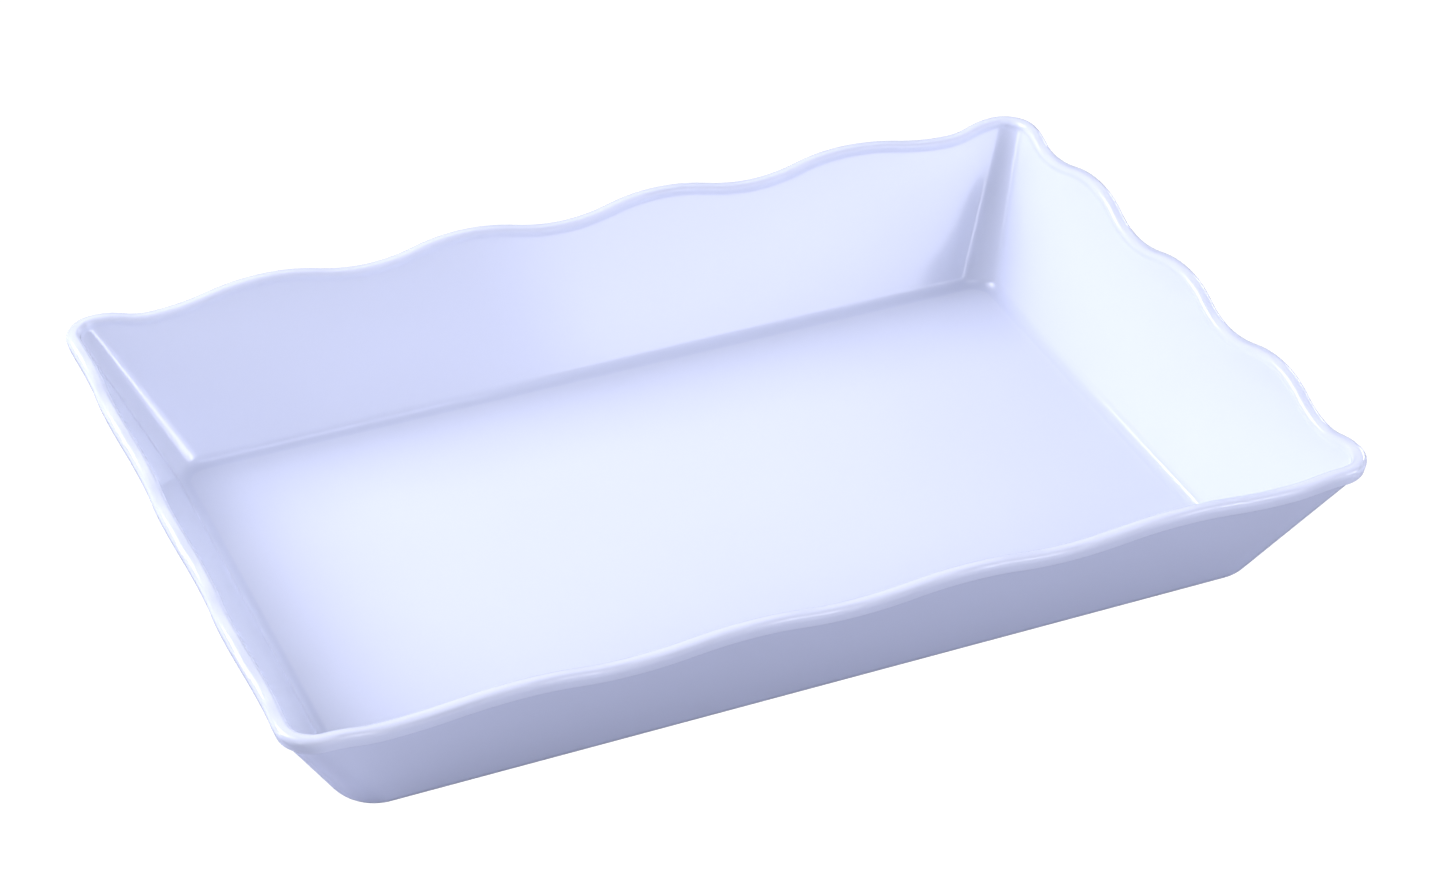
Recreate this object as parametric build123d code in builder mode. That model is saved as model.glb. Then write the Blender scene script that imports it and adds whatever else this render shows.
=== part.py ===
"""Rectangular china serving dish with a scalloped, rolled rim.

The fired clay body is one casting: a flat floor, four flat walls that lean outwards, a low foot
ring below and a round bead along a rim that rises and falls in waves.  A thin glass glaze covers
it all except the foot ring, which is wiped bare so that the dish can stand in the kiln.  The ring
parts the glaze into two skins: the coat over the dish and the panel under its floor.

Frame: millimetres, +Z up, +X along the dish, +Y across it.  The origin is the middle of the
surface that the foot stands on.
"""

import math
import os

from build123d import *

# Plan of the outer wall faces, and how high they stand
RIM_LENGTH = 380.0
RIM_WIDTH = 266.0
UNDERSIDE_LENGTH = 327.7
UNDERSIDE_WIDTH = 207.7
FOOT_HEIGHT = 1.3
RIM_HEIGHT = 55.4

# Clay and glass
WALL = 4.2
FLOOR = 4.2
GLAZE = 0.3

# Corners: the upright ones tighten a little towards the rim
OUTER_CORNER_LOW = 16.5
OUTER_CORNER_HIGH = 12.5
INNER_CORNER_LOW = 12.0
INNER_CORNER_HIGH = 7.5
FLOOR_FILLET = 6.0
UNDERSIDE_FILLET = 12.0

# Rolled rim: a round bead whose centre lies this deep in the wall, so it stands proud of both faces
BEAD_RADIUS = 2.65
BEAD_DEPTH = 1.8
RIM_CORNER = 10.7

# Scallops: full waves on each side, the run from a trough to its crest, where the last trough lies
# from the side's middle, and how far they rise above the corners and dip below them up the wall
LONG_WAVES = 5
LONG_PITCH = 38.1
LONG_LAST = 158.0
LONG_CREST = 1.6
LONG_TROUGH = 3.1
SHORT_WAVES = 4
SHORT_PITCH = 34.0
SHORT_LAST = 102.0
SHORT_CREST = 2.6
SHORT_TROUGH = 2.6

# Foot ring
FOOT_LENGTH = 308.0
FOOT_WIDTH = 188.0
FOOT_CORNER = 9.0
FOOT_RING = 5.0
FOOT_EDGE = 0.5

# Allowances of the construction: stock above the crests, and how the trimming cuts overreach
OVERRUN = 8.0
CUT_RISE = 0.2
CUT_REACH = 30.0

SIDES = (-1, 1)
RISE = RIM_HEIGHT - FOOT_HEIGHT
LONG_LEAN = math.atan((RIM_WIDTH - UNDERSIDE_WIDTH) / 2 / RISE)
SHORT_LEAN = math.atan((RIM_LENGTH - UNDERSIDE_LENGTH) / 2 / RISE)
FLOOR_TOP = FOOT_HEIGHT + FLOOR
STOCK_TOP = RIM_HEIGHT + SHORT_CREST + OVERRUN
CORNER_LEAN = math.radians(33.0)


def half_length(height, depth=0.0):
    """Half the dish's length at a height, depth being how far inside the outer wall face."""
    return RIM_LENGTH / 2 + (height - RIM_HEIGHT) * math.tan(SHORT_LEAN) - depth / math.cos(SHORT_LEAN)


def half_width(height, depth=0.0):
    """Half the dish's width at a height, depth being how far inside the outer wall face."""
    return RIM_WIDTH / 2 + (height - RIM_HEIGHT) * math.tan(LONG_LEAN) - depth / math.cos(LONG_LEAN)


def blend(low, high, height):
    """A size that changes evenly from the underside to the rim."""
    return low + (high - low) * (height - FOOT_HEIGHT) / RISE


def level_outline(height, depth, corner):
    """Sketch the rounded rectangle that a wall face makes with a level plane."""
    with BuildSketch(Plane.XY.offset(height)) as outline:
        RectangleRounded(2 * half_length(height, depth), 2 * half_width(height, depth), corner)
    return outline.sketch


def outer_outline(height, skin):
    """Outer face at a height, skin millimetres below the glazed surface."""
    return level_outline(height, skin, blend(OUTER_CORNER_LOW, OUTER_CORNER_HIGH, height) - skin)


def inner_outline(height, skin):
    """Inner face at a height, skin millimetres below the glazed surface."""
    return level_outline(height, WALL - skin, blend(INNER_CORNER_LOW, INNER_CORNER_HIGH, height) + skin)


# Rim line: the centre of the bead.  It is level round the corners, and waves in the walls' planes
LONG_END = half_length(RIM_HEIGHT, BEAD_DEPTH) - RIM_CORNER
SHORT_END = half_width(RIM_HEIGHT, BEAD_DEPTH) - RIM_CORNER


def long_wall(side):
    """Plane of the rim line on the long side at +Y (side 1) or -Y (side -1), its y up the wall."""
    return Plane(
        origin=(0, side * half_width(RIM_HEIGHT, BEAD_DEPTH), RIM_HEIGHT),
        x_dir=(side, 0, 0),
        z_dir=(0, -side * math.cos(LONG_LEAN), math.sin(LONG_LEAN)),
    )


def short_wall(side):
    """Plane of the rim line on the short side at +X (side 1) or -X (side -1), its y up the wall."""
    return Plane(
        origin=(side * half_length(RIM_HEIGHT, BEAD_DEPTH), 0, RIM_HEIGHT),
        x_dir=(0, -side, 0),
        z_dir=(-side * math.cos(SHORT_LEAN), 0, math.sin(SHORT_LEAN)),
    )


def scallop_turns(end, waves, pitch, last, crest, trough):
    """Crests and troughs of one side's rim line, from corner to corner, in its wall's plane."""
    turns = [(-end, 0), (-last, -trough)]
    for turn in range(2, 2 * waves - 1):
        turns.append(((turn - waves) * pitch, -trough if turn % 2 else crest))
    return turns + [(last, -trough), (end, 0)]


LONG_TURNS = scallop_turns(LONG_END, LONG_WAVES, LONG_PITCH, LONG_LAST, LONG_CREST, LONG_TROUGH)
SHORT_TURNS = scallop_turns(SHORT_END, SHORT_WAVES, SHORT_PITCH, SHORT_LAST, SHORT_CREST, SHORT_TROUGH)


def scallop_arcs(turns, lift=0.0):
    """Draw a rim line through its turns: two tangent arcs from each level turn to the next."""
    for (start_x, start_y), (end_x, end_y) in zip(turns, turns[1:]):
        start = (start_x, start_y + lift)
        finish = (end_x, end_y + lift)
        middle = ((start_x + end_x) / 2, (start_y + end_y) / 2 + lift)
        chord = math.dist(start, middle)
        sagitta = chord / 2 * math.tan(math.atan2(end_y - start_y, end_x - start_x) / 2)
        SagittaArc(start, middle, -sagitta)
        SagittaArc(middle, finish, sagitta)


def side_line(wall, turns):
    """Rim line along one side."""
    with BuildLine(wall) as line:
        scallop_arcs(turns)
    return line.wire()


def corner_line(x_side, y_side):
    """Rim line round one corner, a level arc between the ends of two sides."""
    with BuildLine(Plane.XY.offset(RIM_HEIGHT)) as line:
        RadiusArc(
            (x_side * LONG_END, y_side * (SHORT_END + RIM_CORNER)),
            (x_side * (LONG_END + RIM_CORNER), y_side * SHORT_END),
            x_side * y_side * RIM_CORNER,
        )
    return line.wire()


rim_lines = [side_line(long_wall(side), LONG_TURNS) for side in SIDES]
rim_lines += [side_line(short_wall(side), SHORT_TURNS) for side in SIDES]
rim_lines += [corner_line(x_side, y_side) for x_side in SIDES for y_side in SIDES]


def scallop_cutter(wall, turns):
    """Solid that trims one wall square to its faces, just above the centre of its bead."""
    first_x, last_x = turns[0][0], turns[-1][0]
    with BuildPart() as cutter:
        with BuildSketch(wall):
            with BuildLine():
                scallop_arcs(turns, CUT_RISE)
                Polyline((last_x, CUT_RISE), (last_x, CUT_REACH), (first_x, CUT_REACH), (first_x, CUT_RISE))
            make_face()
        extrude(amount=WALL * 2, both=True)
    return cutter.part


def corner_cutter(x_side, y_side):
    """Solid that trims one corner along a cone, square to its leaning wall."""
    drop = math.tan(CORNER_LEAN)
    axis_plane = Plane(
        origin=(x_side * LONG_END, y_side * SHORT_END, RIM_HEIGHT + CUT_RISE),
        x_dir=(x_side, 0, 0),
        z_dir=(0, -x_side, 0),
    )
    with BuildPart() as cutter:
        with BuildSketch(axis_plane):
            with BuildLine():
                Polyline(
                    (0, RIM_CORNER * drop),
                    (CUT_REACH, (RIM_CORNER - CUT_REACH) * drop),
                    (CUT_REACH, CUT_REACH),
                    (0, CUT_REACH),
                    close=True,
                )
            make_face()
        revolve(axis=Axis(axis_plane.origin, (0, 0, x_side * y_side)), revolution_arc=90)
    return cutter.part


def dish(skin):
    """The dish without its foot, skin millimetres below the glazed surface all over."""
    underside = FOOT_HEIGHT + skin
    floor = FLOOR_TOP - skin
    bead = BEAD_RADIUS - skin
    with BuildPart() as shape:
        add(outer_outline(underside, skin))
        add(outer_outline(STOCK_TOP, skin))
        loft(ruled=True)
        fillet(shape.edges().group_by(Axis.Z)[0], radius=UNDERSIDE_FILLET - skin)
        add(inner_outline(floor, skin))
        add(inner_outline(STOCK_TOP, skin))
        loft(ruled=True, mode=Mode.SUBTRACT)
        floor_edges = shape.edges().filter_by_position(Axis.Z, floor - GLAZE / 2, floor + GLAZE / 2)
        fillet(floor_edges, radius=FLOOR_FILLET + skin)
        for side in SIDES:
            add(scallop_cutter(long_wall(side), LONG_TURNS), mode=Mode.SUBTRACT)
            add(scallop_cutter(short_wall(side), SHORT_TURNS), mode=Mode.SUBTRACT)
            for end in SIDES:
                add(corner_cutter(end, side), mode=Mode.SUBTRACT)
        for line in rim_lines:
            with BuildSketch(Plane(line.location_at(0))):
                Circle(bead)
            sweep(path=line)
    return shape.part


os.makedirs("parts", exist_ok=True)

glazed_envelope = dish(0.0)

with BuildPart() as china_body:
    add(dish(GLAZE))
    with BuildSketch(Plane.XY):
        RectangleRounded(FOOT_LENGTH, FOOT_WIDTH, FOOT_CORNER)
        RectangleRounded(
            FOOT_LENGTH - 2 * FOOT_RING,
            FOOT_WIDTH - 2 * FOOT_RING,
            FOOT_CORNER - FOOT_RING,
            mode=Mode.SUBTRACT,
        )
    extrude(amount=FOOT_HEIGHT + GLAZE)
    fillet(china_body.edges().group_by(Axis.Z)[0], radius=FOOT_EDGE)
china_body.part.label = "china_body"
export_step(china_body.part, "parts/china_body.step")

with BuildPart() as glaze:
    add(glazed_envelope)
    add(china_body.part, mode=Mode.SUBTRACT)
skins = glaze.part.solids().sort_by(SortBy.VOLUME)

with BuildPart() as glaze_underside:
    add(skins[0])
glaze_underside.part.label = "glaze_underside"
export_step(glaze_underside.part, "parts/glaze_underside.step")

with BuildPart() as glaze_coat:
    add(skins[-1])
glaze_coat.part.label = "glaze_coat"
export_step(glaze_coat.part, "parts/glaze_coat.step")
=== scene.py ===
"""Looks of a rectangular china serving dish with a scalloped, rolled rim.

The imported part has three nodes: a fired clay body, a coat of clear glaze over the dish and a panel
of the same glaze under its floor.  Each is modelled again here as a smooth closed piece that takes
its node's place.  The clay is the coat's own surface, sunk by the thickness of the glaze, so that it
shows only at the wiped foot ring.

Units are metres, +Z is up, +X runs along the dish, and the foot stands on z = 0.
"""

import logging
import math
from dataclasses import dataclass, field
from enum import Enum

import bmesh
import bpy
import numpy as np
from mathutils import Matrix, Vector


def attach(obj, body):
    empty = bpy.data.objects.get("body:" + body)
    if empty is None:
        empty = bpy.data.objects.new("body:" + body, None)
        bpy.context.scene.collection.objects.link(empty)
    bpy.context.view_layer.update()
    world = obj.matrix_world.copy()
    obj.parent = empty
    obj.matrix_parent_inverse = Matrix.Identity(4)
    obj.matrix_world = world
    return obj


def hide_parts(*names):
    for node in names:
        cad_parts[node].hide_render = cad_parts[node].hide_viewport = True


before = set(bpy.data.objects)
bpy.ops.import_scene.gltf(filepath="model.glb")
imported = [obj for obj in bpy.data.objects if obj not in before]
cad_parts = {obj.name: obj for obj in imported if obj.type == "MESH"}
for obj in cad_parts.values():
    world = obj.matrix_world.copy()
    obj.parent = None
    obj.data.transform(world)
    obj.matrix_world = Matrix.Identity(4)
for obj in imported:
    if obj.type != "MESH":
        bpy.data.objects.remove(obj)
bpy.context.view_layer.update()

log = logging.getLogger("dish")

Rgb = tuple[float, float, float]
Rgba = tuple[float, float, float, float]

MM = 0.001
BODY = "root"
LAMP_LIGHT = (0.77, 0.79, 0.925)
WHITE = (1.0, 1.0, 1.0)


# --------------------------------------------------------------------------------------------
# Shader wiring
# --------------------------------------------------------------------------------------------


class Signal:
    """A node's output; where it carries a number, each operator adds one Math node."""

    def __init__(self, recipe: "Recipe", socket: bpy.types.NodeSocket | None) -> None:
        """Wrap a socket.

        Args:
            recipe: The material or world that the socket's node belongs to.
            socket: The output socket, or None for a node that only takes values.
        """
        self.recipe = recipe
        self.socket = socket

    def _math(self, operation: str, *values: "Signal | float") -> "Signal":
        """Add one Math node.

        Args:
            operation: The node's operation.
            values: Its inputs, in order.

        Returns:
            The node's output.
        """
        return self.recipe.node("ShaderNodeMath", {"operation": operation}, dict(enumerate(values)))

    def __add__(self, other: "Signal | float") -> "Signal":
        """Sum."""
        return self._math("ADD", self, other)

    def __radd__(self, other: float) -> "Signal":
        """Sum, number first."""
        return self._math("ADD", other, self)

    def __sub__(self, other: "Signal | float") -> "Signal":
        """Difference."""
        return self._math("SUBTRACT", self, other)

    def __rsub__(self, other: float) -> "Signal":
        """Difference, number first."""
        return self._math("SUBTRACT", other, self)

    def __mul__(self, other: "Signal | float") -> "Signal":
        """Product."""
        return self._math("MULTIPLY", self, other)

    def __rmul__(self, other: float) -> "Signal":
        """Product, number first."""
        return self._math("MULTIPLY", other, self)

    def ramp(self, low: float, high: float) -> "Signal":
        """Rise smoothly from 0 at low to 1 at high.

        Args:
            low: Value that gives 0.
            high: Value that gives 1.

        Returns:
            The smoothed share.
        """
        settings = {"interpolation_type": "SMOOTHSTEP"}
        values = {"Value": self, "From Min": low, "From Max": high}
        return self.recipe.node("ShaderNodeMapRange", settings, values)


class Recipe:
    """Builds one node tree."""

    def __init__(self, tree: bpy.types.NodeTree) -> None:
        """Start from an empty tree.

        Args:
            tree: The node tree of a material or a world.
        """
        self.tree = tree
        self.tree.nodes.clear()

    def node(
        self,
        kind: str,
        settings: dict[str, object] | None = None,
        values: dict[str | int, object] | None = None,
        output: str | int = 0,
    ) -> Signal:
        """Add a node.

        Args:
            kind: The node's type.
            settings: Properties of the node, set before its sockets.
            values: Numbers, colours or signals for its sockets, by name or place.
            output: The socket to hand back.

        Returns:
            The chosen output, or an empty signal where the node has none.
        """
        made = self.tree.nodes.new(kind)
        for name, value in (settings or {}).items():
            setattr(made, name, value)
        for name, value in (values or {}).items():
            if isinstance(value, Signal):
                self.tree.links.new(value.socket, made.inputs[name])
            else:
                made.inputs[name].default_value = value
        return Signal(self, made.outputs[output] if len(made.outputs) else None)

    def blend(self, share: Signal | float, low: Signal | Rgba, high: Signal | Rgba) -> Signal:
        """Mix two colours.

        Args:
            share: How much of the second colour shows, 0 to 1.
            low: First colour.
            high: Second colour.

        Returns:
            The mixed colour.
        """
        settings = {"data_type": "RGBA"}
        return self.node("ShaderNodeMix", settings, {0: share, 6: low, 7: high}, output=2)

    def noise(self, place: Signal, scale: float, detail: float) -> Signal:
        """Add cloudy noise.

        Args:
            place: Where on the piece it is read.
            scale: Its scale.
            detail: How many finer layers it has.

        Returns:
            The noise, 0.5 on average.
        """
        values = {"Vector": place, "Scale": scale, "Detail": detail}
        return self.node("ShaderNodeTexNoise", {}, values)

    def bump(self, height: Signal, depth: float, strength: float) -> Signal:
        """Turn a relief into bent normals.

        Args:
            height: The relief, from 0 to about 1.
            depth: Its height in metres where it is 1.
            strength: How strongly it turns the surface.

        Returns:
            The normals.
        """
        values = {"Strength": strength, "Distance": depth, "Height": height}
        return self.node("ShaderNodeBump", {}, values)


def rgba(colour: Rgb) -> Rgba:
    """Give a linear colour full opacity."""
    return (*colour, 1.0)


@dataclass(frozen=True)
class GlazedChina:
    """Clear glaze over white clay.

    Attributes:
        name: Material name.
        tint: Linear colour of the glazed clay.
        pooled_and_shaded: Colour where the glaze ran together in the hollows, darker and bluer:
            painted shade there.
        thin: Colour where it drew thin over the rim.
        gloss: Roughness of the glass surface.
        gloss_drift: How far the roughness drifts over the dish.
        refraction: Refractive index of the glass.
        cloud_scale: Noise scale of the faint clouds in its colour.
        cloud_share: How strongly the clouds take the pooled and shaded colour.
        cloud_base: How much of the pooled and shaded colour shows in the middle of their range.
        swell_scale: Noise scale of the slow swell in its surface.
        peel_scale: Noise scale of the fine ripple on the swell.
        peel_share: Height of the ripple as a share of the swell's.
        relief: Height of the swell.
        relief_strength: How strongly the relief turns the surface.
    """

    name: str = "white_glaze"
    tint: Rgb = (0.79, 0.82, 0.94)
    pooled_and_shaded: Rgb = (0.74, 0.775, 0.92)
    thin: Rgb = (0.82, 0.845, 0.945)
    gloss: float = 0.11
    gloss_drift: float = 0.04
    refraction: float = 1.5
    cloud_scale: float = 18.0
    cloud_share: float = 0.25
    cloud_base: float = 0.1
    swell_scale: float = 34.0
    peel_scale: float = 260.0
    peel_share: float = 0.06
    relief: float = 0.3 * MM
    relief_strength: float = 0.1

    def make(self) -> bpy.types.Material:
        """Build the material.

        Returns:
            The material.
        """
        material = bpy.data.materials.new(self.name)
        material.use_nodes = True
        recipe = Recipe(material.node_tree)
        place = recipe.node("ShaderNodeTexCoord", output="Object")
        pool = recipe.node("ShaderNodeAttribute", {"attribute_name": "pool"}, output="Fac")
        cloud = recipe.noise(place, self.cloud_scale, 3.0)
        peel = recipe.noise(place, self.peel_scale, 2.0)
        swell = recipe.noise(place, self.swell_scale, 1.0)
        # Darker and bluer where the glaze pools: painted shade in the floor fillet and at the foot.
        pooled_and_shaded_tone = recipe.blend(pool.ramp(0.0, 1.0), rgba(self.tint), rgba(self.pooled_and_shaded))
        drawn = recipe.blend((pool * -1.0).ramp(0.0, 1.0), pooled_and_shaded_tone, rgba(self.thin))
        clouded = (cloud - 0.5) * self.cloud_share + self.cloud_base
        shade = recipe.blend(clouded, drawn, rgba(self.pooled_and_shaded))
        bump = recipe.bump(swell + peel * self.peel_share, self.relief, self.relief_strength)
        surface = recipe.node(
            "ShaderNodeBsdfPrincipled",
            {},
            {
                "Base Color": shade,
                "Roughness": (cloud - 0.5) * self.gloss_drift + self.gloss,
                "IOR": self.refraction,
                "Normal": bump,
            },
        )
        recipe.node("ShaderNodeOutputMaterial", {}, {"Surface": surface})
        return material


@dataclass(frozen=True)
class FiredClay:
    """Bare fired clay at the wiped foot ring.

    Attributes:
        name: Material name.
        pale: Linear colour of the clay.
        dark: Colour of its grit.
        grain: Roughness.
        grain_drift: How much rougher the grit is.
        grit_scale: Noise scale of the grit.
        grit_range: Noise values between which the grit sets in.
        grit_share: How dark the grit gets.
        stain_scale: Noise scale of the faint stains.
        stain_share: How dark the stains get.
        relief: Height of the grit.
        relief_strength: How strongly the relief turns the surface.
    """

    name: str = "fired_clay"
    pale: Rgb = (0.66, 0.63, 0.58)
    dark: Rgb = (0.42, 0.38, 0.33)
    grain: float = 0.85
    grain_drift: float = 0.1
    grit_scale: float = 1400.0
    grit_range: tuple[float, float] = (0.58, 0.8)
    grit_share: float = 0.6
    stain_scale: float = 60.0
    stain_share: float = 0.12
    relief: float = 0.1 * MM
    relief_strength: float = 0.5

    def make(self) -> bpy.types.Material:
        """Build the material.

        Returns:
            The material.
        """
        material = bpy.data.materials.new(self.name)
        material.use_nodes = True
        recipe = Recipe(material.node_tree)
        place = recipe.node("ShaderNodeTexCoord", output="Object")
        grit = recipe.noise(place, self.grit_scale, 3.0)
        stain = recipe.noise(place, self.stain_scale, 2.0)
        darkness = grit.ramp(*self.grit_range) * self.grit_share + stain * self.stain_share
        shade = recipe.blend(darkness, rgba(self.pale), rgba(self.dark))
        bump = recipe.bump(grit, self.relief, self.relief_strength)
        surface = recipe.node(
            "ShaderNodeBsdfPrincipled",
            {},
            {"Base Color": shade, "Roughness": grit * self.grain_drift + self.grain, "Normal": bump},
        )
        recipe.node("ShaderNodeOutputMaterial", {}, {"Surface": surface})
        return material


# --------------------------------------------------------------------------------------------
# Shape of the dish
# --------------------------------------------------------------------------------------------


@dataclass(frozen=True)
class Scallops:
    """Rim line of one side: it rises and falls in waves along the wall.

    Attributes:
        waves: Full waves on the side.
        pitch: Run from a trough to its crest.
        last: Distance of the last trough from the middle of the side.
        crest: Rise of the crests above the level corners.
        trough: Dip of the troughs below them.
    """

    waves: int
    pitch: float
    last: float
    crest: float
    trough: float

    def turns(self, end: float) -> list[tuple[float, float]]:
        """List the level points of the line.

        Args:
            end: Distance of the corners from the middle of the side.

        Returns:
            Places along the side and heights up the wall, corner to corner.
        """
        inner = [
            ((turn - self.waves) * self.pitch, -self.trough if turn % 2 else self.crest)
            for turn in range(2, 2 * self.waves - 1)
        ]
        return [(-end, 0.0), (-self.last, -self.trough), *inner, (self.last, -self.trough), (end, 0.0)]

    def height(self, along: float, end: float) -> tuple[float, float]:
        """Follow the line: two tangent arcs lead from each level point to the next.

        Args:
            along: Place along the side.
            end: Distance of the corners from the middle of the side.

        Returns:
            Height up the wall there, and the line's slope.
        """
        turns = self.turns(end)
        for (start_x, start_y), (end_x, end_y) in zip(turns, turns[1:]):
            if along > end_x and (end_x, end_y) != turns[-1]:
                continue
            run, rise = end_x - start_x, end_y - start_y
            radius = (run**2 + rise**2) / (4 * abs(rise))
            sign = math.copysign(1.0, rise)
            first = along < start_x + run / 2
            reach = along - start_x if first else end_x - along
            drop = radius - math.sqrt(radius**2 - reach**2)
            slope = sign * reach / (radius - drop)
            return (start_y + sign * drop, slope) if first else (end_y - sign * drop, slope)
        return 0.0, 0.0


@dataclass(frozen=True)
class Form:
    """Sizes of the dish, from which every section of its walls follows.

    Attributes:
        rim_length: Length of the outer wall faces at the rim's level, without the lip.
        rim_width: Width of the same.
        underside_length: Length of the outer wall faces at the level of the underside.
        underside_width: Width of the same.
        foot_height: Height of the underside above the table.
        rim_height: Height of the line of the lip at the corners, where it is level.
        wall: Thickness of the walls.
        floor: Thickness of the floor.
        glaze: Thickness of the glaze.
        outer_corner: Corner radii of the outer wall faces, at the underside and at the rim.
        inner_corner: Corner radii of the inner wall faces, at the same levels.
        floor_fillet: Radius between the floor and the inner wall faces.
        underside_fillet: Radius between the underside and the outer wall faces.
        bead_depth: How far the line of the lip lies inside the outer wall faces.
        rim_corner: Corner radius of that line.
        lip_inner: Reach of the lip inwards from its line.
        lip_outer: Reach outwards from its line, at its top and at its lower edge.
        lip_top: Height of the lip above its line.
        lip_bottom: Depth of its lower edge below its line.
        foot_length: Length of the foot ring.
        foot_width: Width of the foot ring.
        foot_corner: Corner radius of its outside.
        foot_ring: Width of the ring.
        foot_edge: Radius of its rounded edges.
        long_scallops: Rim line of the long sides.
        short_scallops: Rim line of the short sides.
    """

    rim_length: float = 380.0 * MM
    rim_width: float = 266.0 * MM
    underside_length: float = 327.7 * MM
    underside_width: float = 207.7 * MM
    foot_height: float = 1.3 * MM
    rim_height: float = 55.4 * MM
    wall: float = 4.2 * MM
    floor: float = 4.2 * MM
    glaze: float = 0.3 * MM
    outer_corner: tuple[float, float] = (16.5 * MM, 12.5 * MM)
    inner_corner: tuple[float, float] = (12.0 * MM, 7.5 * MM)
    floor_fillet: float = 6.0 * MM
    underside_fillet: float = 12.0 * MM
    bead_depth: float = 1.8 * MM
    rim_corner: float = 10.7 * MM
    lip_inner: float = 2.75 * MM
    lip_outer: tuple[float, float] = (2.8 * MM, 1.65 * MM)
    lip_top: float = 2.65 * MM
    lip_bottom: float = 2.6 * MM
    foot_length: float = 308.0 * MM
    foot_width: float = 188.0 * MM
    foot_corner: float = 9.0 * MM
    foot_ring: float = 5.0 * MM
    foot_edge: float = 0.5 * MM
    long_scallops: Scallops = Scallops(5, 38.1 * MM, 158.0 * MM, 1.6 * MM, 3.1 * MM)
    short_scallops: Scallops = Scallops(4, 34.0 * MM, 102.0 * MM, 2.6 * MM, 2.6 * MM)

    @property
    def rise(self) -> float:
        """Height of the rim above the underside."""
        return self.rim_height - self.foot_height

    @property
    def slopes(self) -> tuple[float, float]:
        """Outward run per unit of height, of the short walls and of the long walls."""
        return (
            (self.rim_length - self.underside_length) / 2 / self.rise,
            (self.rim_width - self.underside_width) / 2 / self.rise,
        )

    def half_sides(self, height: float, depth: float) -> np.ndarray:
        """Half the length and half the width of a wall face.

        Args:
            height: Height of the level section.
            depth: How far the face lies inside the outer face.

        Returns:
            Both halves.
        """
        halves = []
        for side, slope in zip((self.rim_length, self.rim_width), self.slopes):
            halves.append(side / 2 + (height - self.rim_height) * slope - depth * math.hypot(1, slope))
        return np.array(halves)


class WallFace(Enum):
    """The two faces of the walls."""

    INNER = "inner"
    OUTER = "outer"


@dataclass
class Ribs:
    """Stations round the dish, in order; one profile of the dish stands at each.

    Attributes:
        form: Sizes of the dish.
        long_steps: Steps between the stations of a long side, its half corners included.
        short_steps: The same on a short side.
        corner_steps: Steps in half a corner.
        reach: Where each station's corner centre lies, as shares of the straight half sides.
        outward: Level unit vectors that point out of the dish.
    """

    form: Form
    long_steps: int = 130
    short_steps: int = 92
    corner_steps: int = 6
    reach: np.ndarray = field(init=False)
    outward: np.ndarray = field(init=False)

    def __post_init__(self) -> None:
        """Work out the stations, counter-clockwise from the middle of the corner at -X, -Y."""
        reach, bearings = [], []
        for side in range(4):
            bearing = (side - 1) * math.pi / 2
            steps = self.short_steps if side % 2 else self.long_steps
            straight = steps - 2 * self.corner_steps
            out = np.array([round(math.cos(bearing)), round(math.sin(bearing))])
            ahead = np.array([-out[1], out[0]])
            for step in range(steps):
                along = np.clip((step - self.corner_steps) / straight, 0.0, 1.0)
                turn = min(step - self.corner_steps, 0) + max(step - self.corner_steps - straight, 0)
                reach.append(out + ahead * (2 * along - 1))
                bearings.append(bearing + turn * math.pi / 4 / self.corner_steps)
        self.reach = np.array(reach)
        self.outward = np.column_stack([np.cos(bearings), np.sin(bearings)])

    def outline(
        self, halves: np.ndarray, corner: np.ndarray | float, level: np.ndarray | float
    ) -> np.ndarray:
        """Place the stations on a rounded rectangle.

        Args:
            halves: Half its length and half its width, one pair or one per station.
            corner: Its corner radius, one or one per station.
            level: Its height, one or one per station.

        Returns:
            One point per station.
        """
        corner = np.broadcast_to(corner, len(self.reach))[:, None]
        flat = self.reach * (halves - corner) + self.outward * corner
        return np.column_stack([flat, np.broadcast_to(level, len(flat))])


@dataclass
class WallLines:
    """Straight lines up one face of the walls, one per station.

    Attributes:
        foot: Their points at height 0.
        climb: Their run for each unit of height.
        lean: How far they lean outwards, as angles from upright.
    """

    foot: np.ndarray
    climb: np.ndarray
    lean: np.ndarray

    def at(self, level: np.ndarray | float) -> np.ndarray:
        """Points of the face at a height.

        Args:
            level: Height, one or one per station.

        Returns:
            One point per station.
        """
        level = np.broadcast_to(level, len(self.foot))[:, None]
        return self.foot + self.climb * level


@dataclass
class RimLine:
    """The line that the lip is built round, one point per station.

    Attributes:
        level: Its points if it had no scallops.
        points: Its points.
        out: Directions out of the dish, square to the line.
        up: Directions upwards, square to the line.
    """

    level: np.ndarray
    points: np.ndarray
    out: np.ndarray
    up: np.ndarray


@dataclass(frozen=True)
class Rounding:
    """How one corner of a section is rounded off.

    Attributes:
        radius: Radius of the rounding.
        steps: Edges that it is divided into.
    """

    radius: float
    steps: int


# From the inner wall over the lip: its inner foot, two shoulders, lower edge and outer foot.
LIP_ROUNDINGS = (
    Rounding(2.5 * MM, 5),
    Rounding(2.0 * MM, 8),
    Rounding(2.0 * MM, 8),
    Rounding(0.35 * MM, 4),
    Rounding(0.4 * MM, 4),
)


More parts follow.
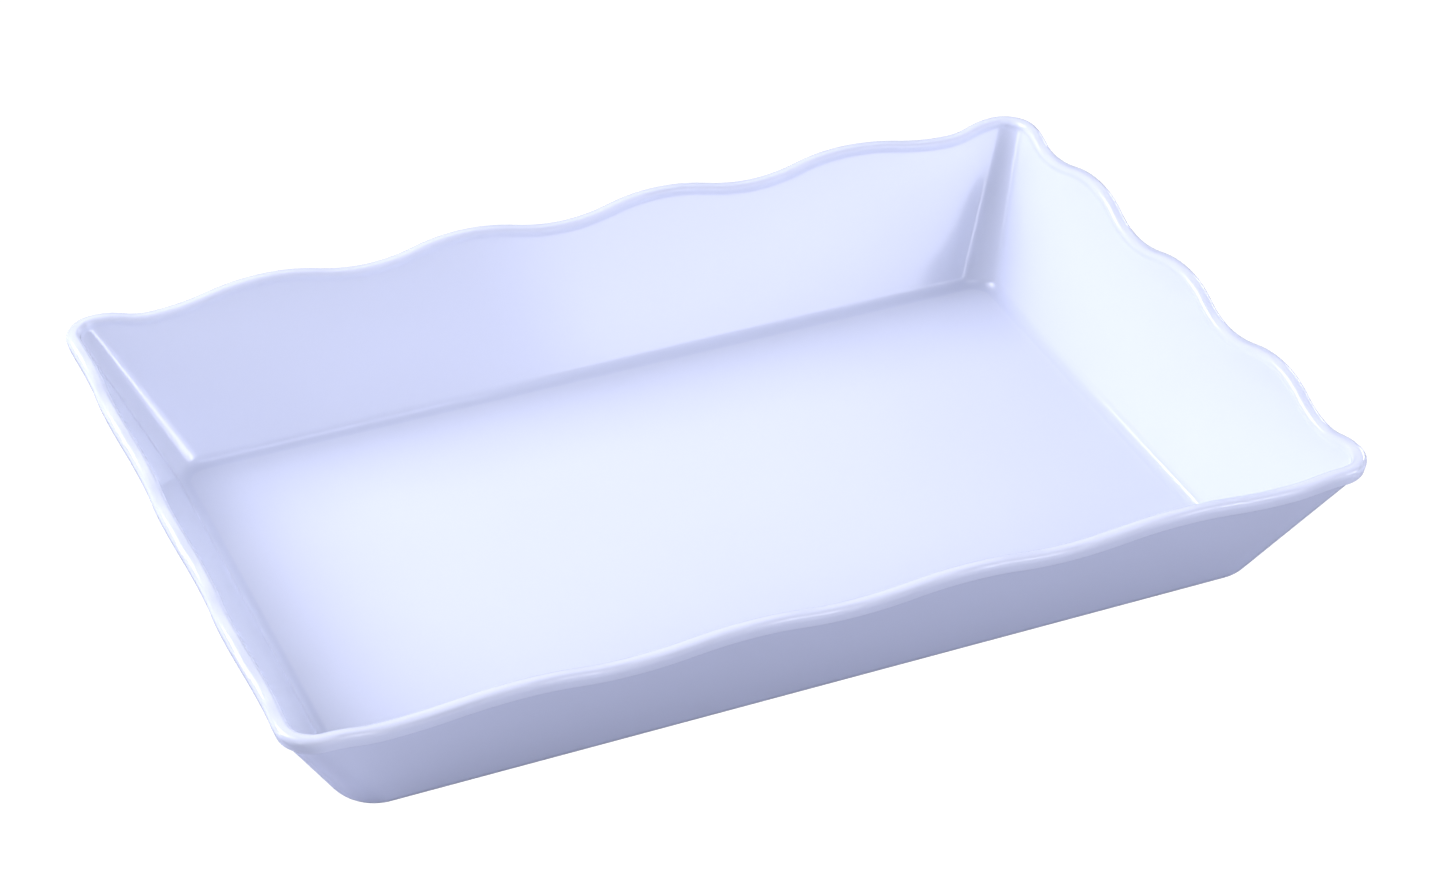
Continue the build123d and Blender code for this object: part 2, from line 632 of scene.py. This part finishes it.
def round_off(corners: list[np.ndarray], roundings: tuple[Rounding, ...]) -> list[np.ndarray]:
    """Round the corners of open section lines, all stations at once.

    Args:
        corners: Corner points of the sections, their two ends included.
        roundings: One rounding for each corner between the ends.

    Returns:
        Points of the rounded sections, the ends left out.
    """
    points = []
    for before, corner, after, rounding in zip(corners, corners[1:], corners[2:], roundings):
        back = (before - corner) / np.linalg.norm(before - corner, axis=1)[:, None]
        ahead = (after - corner) / np.linalg.norm(after - corner, axis=1)[:, None]
        half = np.arccos(np.sum(back * ahead, axis=1))[:, None] / 2
        middle = (back + ahead) / np.linalg.norm(back + ahead, axis=1)[:, None]
        centre = corner + middle * rounding.radius / np.sin(half)
        first = corner + back * rounding.radius / np.tan(half) - centre
        last = corner + ahead * rounding.radius / np.tan(half) - centre
        turn = math.pi - 2 * half
        for step in range(rounding.steps + 1):
            share = step / rounding.steps
            weights = np.sin((1 - share) * turn), np.sin(share * turn)
            points.append(centre + (first * weights[0] + last * weights[1]) / np.sin(turn))
    return points


@dataclass
class Section:
    """One ring of points round the dish, and how the glaze lies there.

    Attributes:
        points: Its points, one per station.
        pool: 1 where the glaze has run together and shade is painted in, 0 where it is even, -1 where
            it has drawn thin.
    """

    points: np.ndarray
    pool: float = 0.0


@dataclass
class Profile:
    """Lays out the glazed surface as rings, from the floor over the rim to the foot.

    Attributes:
        form: Sizes of the dish.
        ribs: The stations of the rings.
        fillet_steps: Steps round each fillet.
        wall_steps: Steps up each wall face.
        guard: Width of the narrow steps that keep the shading of a wall face flat.
        foot_pooling_and_shade: How far the coat's edge at the foot ring takes the darker colour of
            pooled glaze and painted shade.
    """

    form: Form
    ribs: Ribs
    fillet_steps: int = 8
    wall_steps: int = 5
    guard: float = 0.4 * MM
    foot_pooling_and_shade: float = 0.5

    def wall_lines(self, face: WallFace) -> WallLines:
        """Work out one face of the walls.

        Args:
            face: Which face.

        Returns:
            Its lines.
        """
        form = self.form
        outer = face is WallFace.OUTER
        depth = 0.0 if outer else form.wall
        low, high = form.outer_corner if outer else form.inner_corner
        slope = (high - low) / form.rise
        at_zero = low - form.foot_height * slope
        foot = self.ribs.outline(form.half_sides(0.0, depth), at_zero, 0.0)
        above = self.ribs.outline(form.half_sides(1.0, depth), at_zero + slope, 1.0)
        climb = above - foot
        lean = np.arctan(np.sum(climb[:, :2] * self.ribs.outward, axis=1))
        return WallLines(foot, climb, lean)

    def normals(self, angles: np.ndarray) -> np.ndarray:
        """Unit vectors in each station's upright plane.

        Args:
            angles: Their elevation, one per station.

        Returns:
            One vector per station.
        """
        return np.column_stack([self.ribs.outward * np.cos(angles)[:, None], np.sin(angles)])

    def fillet(self, face: WallFace, level: float, radius: float) -> list[np.ndarray]:
        """Roll a ball along the foot of a wall face.

        Args:
            face: The wall face.
            level: Height of the level surface that the fillet meets.
            radius: Radius of the ball.

        Returns:
            Rings from the level surface up to the wall.
        """
        lines = self.wall_lines(face)
        contact = lines.at(level + radius * (1 - np.sin(lines.lean)))
        centre = contact - radius * self.normals(-lines.lean)
        rings = []
        for step in range(self.fillet_steps + 1):
            share = step / self.fillet_steps
            angles = -math.pi / 2 + share * (math.pi / 2 - lines.lean)
            rings.append(centre + radius * self.normals(angles))
        return rings

    def rim_line(self) -> RimLine:
        """Follow the line that the rolled lip is built round.

        Returns:
            The line, with the directions of its sections.
        """
        form = self.form
        halves = form.half_sides(form.rim_height, form.bead_depth)
        ends = halves - form.rim_corner
        lean = self.wall_lines(WallFace.OUTER).lean
        level = self.ribs.outline(halves, form.rim_corner, form.rim_height)
        up_wall = self.normals(math.pi / 2 - lean)
        level_out = self.normals(np.zeros(len(level)))
        ahead = np.column_stack([-level_out[:, 1], level_out[:, 0], level_out[:, 2]])
        points, tangents = level.copy(), ahead.copy()
        for station, reach in enumerate(np.abs(self.ribs.reach)):
            # The line is level round the corners.
            if reach.min() >= 1:
                continue
            on_long_side = reach[1] == 1
            scallops = form.long_scallops if on_long_side else form.short_scallops
            end = ends[0] if on_long_side else ends[1]
            height, slope = scallops.height(float(level[station] @ ahead[station]), float(end))
            points[station] += up_wall[station] * height
            tangents[station] += up_wall[station] * slope
        tangents /= np.linalg.norm(tangents, axis=1)[:, None]
        out = level_out - tangents * np.sum(level_out * tangents, axis=1)[:, None]
        out /= np.linalg.norm(out, axis=1)[:, None]
        return RimLine(level, points, out, np.cross(out, tangents))

    def lip(self) -> list[np.ndarray]:
        """Roll the lip: a rounded top, an outer face with a crisp lower edge and a soft inner foot.

        Returns:
            Rings from the inner wall face over the lip to the outer one.
        """
        form = self.form
        line = self.rim_line()
        count = len(line.points)
        # The wall leans in every section: these give the direction square to it, as seen there.
        square = self.normals(-self.wall_lines(WallFace.OUTER).lean)
        cosine = np.sum(square * line.out, axis=1)
        sine = -np.sum(square * line.up, axis=1)
        # How far each wall face lies outside the line of the lip, square to the wall.
        gaps = {}
        for face in WallFace:
            lines = self.wall_lines(face)
            across = lines.at(form.rim_height)[:, :2] - line.level[:, :2]
            gaps[face] = np.sum(across * self.ribs.outward, axis=1) * np.cos(lines.lean)

        def corner(out: np.ndarray | float, up: np.ndarray | float) -> np.ndarray:
            """Give every station one point of the section, from its measures outwards and upwards."""
            return np.column_stack([np.broadcast_to(out, count), np.broadcast_to(up, count)])

        # Where the sides of the lip meet the wall faces.
        inner_foot = (gaps[WallFace.INNER] + form.lip_inner * cosine) / -sine
        outer_foot = (gaps[WallFace.OUTER] - form.lip_bottom * sine) / cosine
        # Down along the wall; only the direction counts, because the ends are left out.
        down = -corner(sine, cosine)
        inner_meet = corner(-form.lip_inner, inner_foot)
        outer_meet = corner(outer_foot, -form.lip_bottom)
        corners = [
            inner_meet + down,
            inner_meet,
            corner(-form.lip_inner, form.lip_top),
            corner(form.lip_outer[0], form.lip_top),
            corner(form.lip_outer[1], -form.lip_bottom),
            outer_meet,
            outer_meet + down,
        ]
        rings = []
        for flat in round_off(corners, LIP_ROUNDINGS):
            rings.append(line.points + line.out * flat[:, :1] + line.up * flat[:, 1:])
        return rings

    def wall(self, low: np.ndarray, high: np.ndarray) -> list[np.ndarray]:
        """Divide a wall face between two rings, with a narrow step beside each of them.

        Args:
            low: Lower ring.
            high: Upper ring.

        Returns:
            The rings between them, from low to high.
        """
        span = np.linalg.norm(high - low, axis=1)[:, None]
        edge = self.guard / span
        rings = [low + (high - low) * edge]
        for step in range(1, self.wall_steps):
            rings.append(low + (high - low) * step / self.wall_steps)
        rings.append(high - (high - low) * edge)
        return rings

    def sections(self) -> list[Section]:
        """Lay out the whole glazed surface.

        Returns:
            Rings from the edge of the flat floor, over the rim, to the foot ring.
        """
        form = self.form
        floor_top = form.foot_height + form.floor
        inner_fillet = self.fillet(WallFace.INNER, floor_top, form.floor_fillet)
        outer_fillet = self.fillet(WallFace.OUTER, form.foot_height, form.underside_fillet)
        lip = self.lip()
        foot = self.ribs.outline(
            np.array([form.foot_length, form.foot_width]) / 2, form.foot_corner, form.foot_height
        )
        sections = []
        last = self.fillet_steps
        # The glaze pools in the floor fillet, most midway round it: the darker, bluer band there is
        # painted shade in the crease.
        for step, ring in enumerate(inner_fillet):
            pool = math.sin(math.pi * min(step + 1, last) / (last + 1))
            sections.append(Section(ring, pool))
        for ring in self.wall(inner_fillet[-1], lip[0]):
            sections.append(Section(ring))
        for step, ring in enumerate(lip):
            sections.append(Section(ring, -math.sin(math.pi * step / (len(lip) - 1))))
        for ring in reversed(self.wall(outer_fillet[-1], lip[-1])):
            sections.append(Section(ring))
        sections += [Section(ring) for ring in reversed(outer_fillet)]
        # The coat's edge at the foot ring takes some of the same darker colour, as painted shade under
        # the dish.
        sections.append(Section(foot, self.foot_pooling_and_shade))
        return sections


@dataclass
class DishSheet:
    """Grows the glazed surface as one open sheet, ring by ring.

    Attributes:
        form: Sizes of the dish.
        ribs: The stations of its rings.
        name: Name of the piece that it becomes.
    """

    form: Form
    ribs: Ribs
    name: str

    def grow(self) -> bpy.types.Object:
        """Lay the floor and extrude the walls, the lip and the outside from its border.

        Returns:
            The sheet, in edit mode, with its border at the foot selected.
        """
        sections = Profile(self.form, self.ribs).sections()
        bpy.ops.object.select_all(action="DESELECT")
        bpy.ops.mesh.primitive_grid_add(
            x_subdivisions=self.ribs.long_steps, y_subdivisions=self.ribs.short_steps, size=2.0
        )
        sheet = bpy.context.active_object
        sheet.name = sheet.data.name = self.name
        self.number_stations(sheet)
        bpy.ops.object.mode_set(mode="EDIT")
        bpy.ops.mesh.select_mode(type="VERT")
        bpy.ops.mesh.select_all(action="SELECT")
        bpy.ops.mesh.region_to_loop()
        self.settle_floor(sheet, sections[0])
        for section in sections[1:]:
            self.add_ring(sheet, section)
        return sheet

    def add_ring(self, sheet: bpy.types.Object, section: Section) -> None:
        """Extrude the selected border to a new ring.

        Args:
            sheet: The sheet, in edit mode.
            section: Where the ring belongs.
        """
        bpy.ops.mesh.extrude_region_move()
        work = bmesh.from_edit_mesh(sheet.data)
        station = work.verts.layers.int["station"]
        pool = work.verts.layers.float["pool"]
        for vertex in work.verts:
            if vertex.select:
                vertex.co = section.points[vertex[station]]
                vertex[pool] = section.pool
        bmesh.update_edit_mesh(sheet.data)

    def number_stations(self, sheet: bpy.types.Object) -> None:
        """Number the grid's border points as the stations are, and its inner points -1.

        Args:
            sheet: The grid, which still spans -1 to 1 both ways.
        """
        # One attribute carries pooled glaze with painted shade in the hollows, and thin glaze over the
        # lip as negative values.
        sheet.data.attributes.new("pool", "FLOAT", "POINT")
        sheet.data.attributes.new("station", "INT", "POINT")
        station = sheet.data.attributes["station"]
        long_steps, short_steps = self.ribs.long_steps, self.ribs.short_steps
        for vertex in sheet.data.vertices:
            column = round((vertex.co.x + 1) / 2 * long_steps)
            row = round((vertex.co.y + 1) / 2 * short_steps)
            number = -1
            if row == 0:
                number = column
            elif column == long_steps:
                number = long_steps + row
            elif row == short_steps:
                number = 2 * long_steps + short_steps - column
            elif column == 0:
                number = 2 * (long_steps + short_steps) - row
            station.data[vertex.index].value = number

    def settle_floor(self, sheet: bpy.types.Object, border: Section) -> None:
        """Spread the grid over the flat floor.

        Args:
            sheet: The grid, in edit mode.
            border: Ring round the flat floor.
        """
        work = bmesh.from_edit_mesh(sheet.data)
        station = work.verts.layers.int["station"]
        level = border.points[0, 2]
        reach = np.abs(border.points[:, :2]).max(axis=0)
        for vertex in work.verts:
            number = vertex[station]
            if number >= 0:
                vertex.co = border.points[number]
            else:
                vertex.co = (vertex.co.x * reach[0], vertex.co.y * reach[1], level)
        bmesh.update_edit_mesh(sheet.data)


@dataclass
class GlazeCoat:
    """The skin of glass over the dish, from the foot ring over the rim to the floor.

    Attributes:
        form: Sizes of the dish.
        finish: Its finish.
        name: Name of the piece.
    """

    form: Form
    finish: bpy.types.Material
    name: str = "dish_glaze"

    def build(self) -> bpy.types.Object:
        """Model the coat.

        Returns:
            The finished shell.
        """
        coat = DishSheet(self.form, Ribs(self.form), self.name).grow()
        bpy.ops.object.mode_set(mode="OBJECT")
        coat.data.shade_smooth()
        shell = coat.modifiers.new("glass", "SOLIDIFY")
        shell.thickness = self.form.glaze
        shell.offset = -1.0
        shell.use_even_offset = True
        bpy.ops.object.modifier_apply(modifier=shell.name)
        coat.data.materials.append(self.finish)
        return coat


@dataclass
class ClayBody:
    """The fired clay casting under the glaze, bare at its foot ring.

    Attributes:
        form: Sizes of the dish.
        finish: Its finish.
        name: Name of the piece.
    """

    form: Form
    finish: bpy.types.Material
    name: str = "clay_body"

    def build(self) -> bpy.types.Object:
        """Model the body: the glazed surface sunk by the glaze, then the foot ring and the underside.

        Returns:
            The finished body.
        """
        ribs = Ribs(self.form)
        sheet = DishSheet(self.form, ribs, self.name)
        body = sheet.grow()
        bpy.ops.mesh.select_all(action="SELECT")
        bpy.ops.transform.shrink_fatten(value=-self.form.glaze, use_even_offset=True)
        bpy.ops.mesh.region_to_loop()
        for ring in self.foot_rings(ribs):
            sheet.add_ring(body, Section(ring))
        bpy.ops.mesh.edge_face_add()
        bpy.ops.object.mode_set(mode="OBJECT")
        body.data.shade_smooth()
        body.data.materials.append(self.finish)
        return body

    def foot_rings(self, ribs: Ribs) -> list[np.ndarray]:
        """Lay out the foot ring, from the coat's edge round its bare face to the underside.

        Args:
            ribs: The stations of the rings.

        Returns:
            The rings.
        """
        form = self.form
        halves = np.array([form.foot_length, form.foot_width]) / 2
        top, edge = form.foot_height + form.glaze, form.foot_edge
        # Insets and heights, down the outer side and over its edge; the inner side mirrors them.
        slack = edge * (1 - math.sqrt(0.5))
        steps = [(0.0, top), (0.0, edge), (slack, slack), (edge, 0.0)]
        inner = [(form.foot_ring - inset, level) for inset, level in reversed(steps)]
        rings = []
        underside = [(form.foot_ring + edge, top)]
        for inset, level in steps + inner + underside:
            rings.append(ribs.outline(halves - inset, form.foot_corner - inset, level))
        return rings


@dataclass
class UndersideGlaze:
    """The panel of glaze under the floor, inside the foot ring.

    Two known faults: the inset folds the rounded strip over itself, 0.4 mm past the panel, and the
    recalculated faces point inwards.

    Attributes:
        form: Sizes of the dish.
        finish: Its finish.
        name: Name of the piece.
        edge: Radius of its rounded lower edge.
        edge_steps: Steps round that edge.
        corner_steps: Steps round each corner.
        margin: Inset of the rounded strip, wider than the strip itself.
    """

    form: Form
    finish: bpy.types.Material
    name: str = "underside_glaze"
    edge: float = 0.2 * MM
    edge_steps: int = 3
    corner_steps: int = 12
    margin: float = 0.6 * MM

    def build(self) -> bpy.types.Object:
        """Model the panel.

        Returns:
            The finished panel.
        """
        form = self.form
        length = form.foot_length - 2 * form.foot_ring
        width = form.foot_width - 2 * form.foot_ring
        bpy.ops.object.select_all(action="DESELECT")
        bpy.ops.mesh.primitive_plane_add(size=1.0)
        panel = bpy.context.active_object
        panel.name = panel.data.name = self.name
        bpy.ops.object.mode_set(mode="EDIT")
        bpy.ops.mesh.select_mode(type="FACE")
        bpy.ops.mesh.select_all(action="SELECT")
        bpy.ops.transform.resize(value=(length, width, 1.0))
        bpy.ops.transform.translate(value=(0.0, 0.0, form.foot_height + form.glaze))
        bpy.ops.mesh.bevel(
            offset=form.foot_corner - form.foot_ring, segments=self.corner_steps, affect="VERTICES"
        )
        bpy.ops.mesh.select_all(action="SELECT")
        bpy.ops.mesh.extrude_region_move(TRANSFORM_OT_translate={"value": (0.0, 0.0, -form.glaze)})
        bpy.ops.mesh.bevel(offset=self.edge, segments=self.edge_steps, affect="EDGES")
        bpy.ops.mesh.inset(thickness=self.margin)
        bpy.ops.mesh.select_all(action="SELECT")
        bpy.ops.mesh.normals_make_consistent(inside=False)
        bpy.ops.object.mode_set(mode="OBJECT")
        panel.data.shade_smooth()
        panel.data.materials.append(self.finish)
        return panel


# --------------------------------------------------------------------------------------------
# Studio
# --------------------------------------------------------------------------------------------


@dataclass(frozen=True)
class Softbox:
    """A large soft lamp that faces the dish.

    Attributes:
        name: Its name.
        azimuth: Compass angle that it shines from, degrees from +X towards +Y.
        elevation: Height angle that it shines from, in degrees.
        width: Width of its face.
        height: Height of its face.
        power: Watts.
        distance: Distance from the dish.
        colour: Linear colour of its light.
    """

    name: str
    azimuth: float
    elevation: float
    width: float
    height: float
    power: float
    distance: float = 2.2
    colour: Rgb = LAMP_LIGHT

    def hang(self, target: Vector) -> bpy.types.Object:
        """Put the lamp up.

        Args:
            target: Point that it faces.

        Returns:
            The lamp.
        """
        turn, lift = math.radians(self.azimuth), math.radians(self.elevation)
        flat = math.cos(lift)
        away = Vector((math.cos(turn) * flat, math.sin(turn) * flat, math.sin(lift)))
        lamp_data = bpy.data.lights.new(self.name, "AREA")
        lamp_data.shape = "RECTANGLE"
        lamp_data.size = self.width
        lamp_data.size_y = self.height
        lamp_data.energy = self.power
        lamp_data.color = self.colour
        lamp = bpy.data.objects.new(self.name, lamp_data)
        bpy.context.scene.collection.objects.link(lamp)
        lamp.location = target + away * self.distance
        lamp.rotation_euler = away.to_track_quat("Z", "Y").to_euler()
        lamp.visible_camera = False
        return lamp


LAMPS = (
    Softbox("key_back_left", 142.0, 38.0, 1.3, 1.0, 44.0),
    Softbox("back_left_high", 140.0, 57.0, 1.6, 0.5, 9.8),
    Softbox("back_left_spark", 156.0, 10.0, 0.35, 0.3, 7.0),
    Softbox("back", 120.0, 31.0, 0.6, 1.3, 2.6),
    Softbox("back_right", 76.0, 40.0, 1.8, 0.8, 4.4),
    Softbox("key_front", 298.0, 22.0, 2.0, 0.8, 7.9),
    Softbox("front_core", 298.0, 25.0, 0.7, 0.45, 4.0),
    Softbox("front_spark", 311.0, 30.0, 0.5, 0.4, 6.0),
    Softbox("front_right", 325.0, 20.0, 0.6, 0.8, 11.2),
    Softbox("front_high", 305.0, 42.0, 1.8, 0.7, 3.3),
    Softbox("overhead_front", 270.0, 68.0, 1.2, 0.7, 8.1),
    Softbox("right_low", 30.0, 20.0, 0.8, 0.6, 10.9),
    Softbox("left_low", 176.0, 14.0, 1.0, 0.7, 1.3),
    Softbox("left_front", 210.0, 20.0, 0.7, 0.7, 5.9),
)


@dataclass(frozen=True)
class Studio:
    """Pale floor, soft lamps and the camera.

    Attributes:
        target: Point that the camera and the lamps face.
        azimuth: How far the camera stands to the side of -Y, in degrees towards +X.
        elevation: How high it stands, in degrees.
        roll: How far it leans to the side, in degrees.
        distance: Its distance from the target.
        lens: Its focal length, in millimetres.
        sensor: Width of its sensor, in millimetres.
        far: How far it sees.
        floor_size: Length and width of the floor.
        floor_drop: How far the floor lies below the foot, so that they don't share a plane.
        paper: Linear colour of the floor in the lamps' light.
        glow: Brightness of the white that the camera sees behind the dish.
        trace: Strength of the soft light from all round.
        lamps: The lamps.
    """

    target: tuple[float, float, float] = (13.4 * MM, 11.7 * MM, 23.8 * MM)
    azimuth: float = -22.70
    elevation: float = 33.87
    roll: float = -0.594
    distance: float = 1351.05 * MM
    lens: float = 95.80
    sensor: float = 36.0
    far: float = 50.0
    floor_size: float = 12.0
    floor_drop: float = 0.05 * MM
    paper: Rgb = (0.52, 0.53, 0.6)
    glow: float = 1.08
    trace: float = 0.02
    lamps: tuple[Softbox, ...] = LAMPS

    def set_camera(self) -> bpy.types.Object:
        """Aim the camera.

        Returns:
            The camera.
        """
        turn, lift = math.radians(self.azimuth), math.radians(self.elevation)
        flat = math.cos(lift)
        back = Vector((math.sin(turn) * flat, -math.cos(turn) * flat, math.sin(lift)))
        level = Vector((math.cos(turn), math.sin(turn), 0.0))
        upright = back.cross(level)
        roll = math.radians(self.roll)
        right = level * math.cos(roll) + upright * math.sin(roll)
        up = back.cross(right)
        camera_data = bpy.data.cameras.new("camera")
        camera_data.lens = self.lens
        camera_data.sensor_width = self.sensor
        camera_data.sensor_fit = "HORIZONTAL"
        camera_data.clip_end = self.far
        camera = bpy.data.objects.new("camera", camera_data)
        bpy.context.scene.collection.objects.link(camera)
        turned = Matrix((right, up, back)).transposed().to_4x4()
        turned.translation = Vector(self.target) + back * self.distance
        camera.matrix_world = turned
        bpy.context.scene.camera = camera
        return camera

    def lay_floor(self) -> bpy.types.Object:
        """Lay the pale floor: white to the camera, paper to the lamps and clear from below.

        Returns:
            The floor.
        """
        bpy.ops.object.select_all(action="DESELECT")
        bpy.ops.mesh.primitive_plane_add(size=self.floor_size, location=(0.0, 0.0, -self.floor_drop))
        floor = bpy.context.active_object
        floor.name = "studio_floor"
        material = bpy.data.materials.new("studio_floor")
        material.use_nodes = True
        recipe = Recipe(material.node_tree)
        seen = recipe.node("ShaderNodeLightPath", output="Is Camera Ray")
        under = recipe.node("ShaderNodeNewGeometry", output="Backfacing")
        paper = recipe.node("ShaderNodeBsdfDiffuse", {}, {"Color": rgba(self.paper)})
        white = {"Color": rgba(WHITE), "Strength": self.glow}
        glow = recipe.node("ShaderNodeEmission", {}, white)
        clear = recipe.node("ShaderNodeBsdfTransparent")
        above = recipe.node("ShaderNodeMixShader", {}, {0: seen, 1: paper, 2: glow})
        shown = recipe.node("ShaderNodeMixShader", {}, {0: under, 1: above, 2: clear})
        recipe.node("ShaderNodeOutputMaterial", {}, {"Surface": shown})
        floor.data.materials.append(material)
        return floor

    def fill_room(self) -> None:
        """Surround the dish with white that only the camera sees, and a trace of soft light."""
        world = bpy.data.worlds.new("studio")
        world.use_nodes = True
        bpy.context.scene.world = world
        recipe = Recipe(world.node_tree)
        seen = recipe.node("ShaderNodeLightPath", output="Is Camera Ray")
        faint = {"Color": rgba(LAMP_LIGHT), "Strength": self.trace}
        white = {"Color": rgba(WHITE), "Strength": self.glow}
        soft = recipe.node("ShaderNodeBackground", {}, faint)
        glow = recipe.node("ShaderNodeBackground", {}, white)
        shown = recipe.node("ShaderNodeMixShader", {}, {0: seen, 1: soft, 2: glow})
        recipe.node("ShaderNodeOutputWorld", {}, {"Surface": shown})

    def build(self) -> None:
        """Set the whole studio up."""
        self.lay_floor()
        self.fill_room()
        for lamp in self.lamps:
            lamp.hang(Vector(self.target))
        self.set_camera()
        bpy.context.scene.view_settings.view_transform = "Standard"


def main() -> None:
    """Build the pieces in order, give each its node's place and set up the studio."""
    logging.basicConfig(level=logging.INFO, format="%(name)s: %(message)s")
    form = Form()
    glaze = GlazedChina().make()
    clay = FiredClay().make()
    parts = (
        (ClayBody(form, clay), "china_body", "fired_clay"),
        (GlazeCoat(form, glaze), "glaze_coat", "white_glaze"),
        (UndersideGlaze(form, glaze), "glaze_underside", "white_glaze"),
    )
    for part, node, slot in parts:
        piece = part.build()
        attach(piece, BODY)
        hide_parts(node)
        log.info("%s: %d faces", piece.name, len(piece.data.polygons))
    Studio().build()


if __name__ == "__main__":
    main()
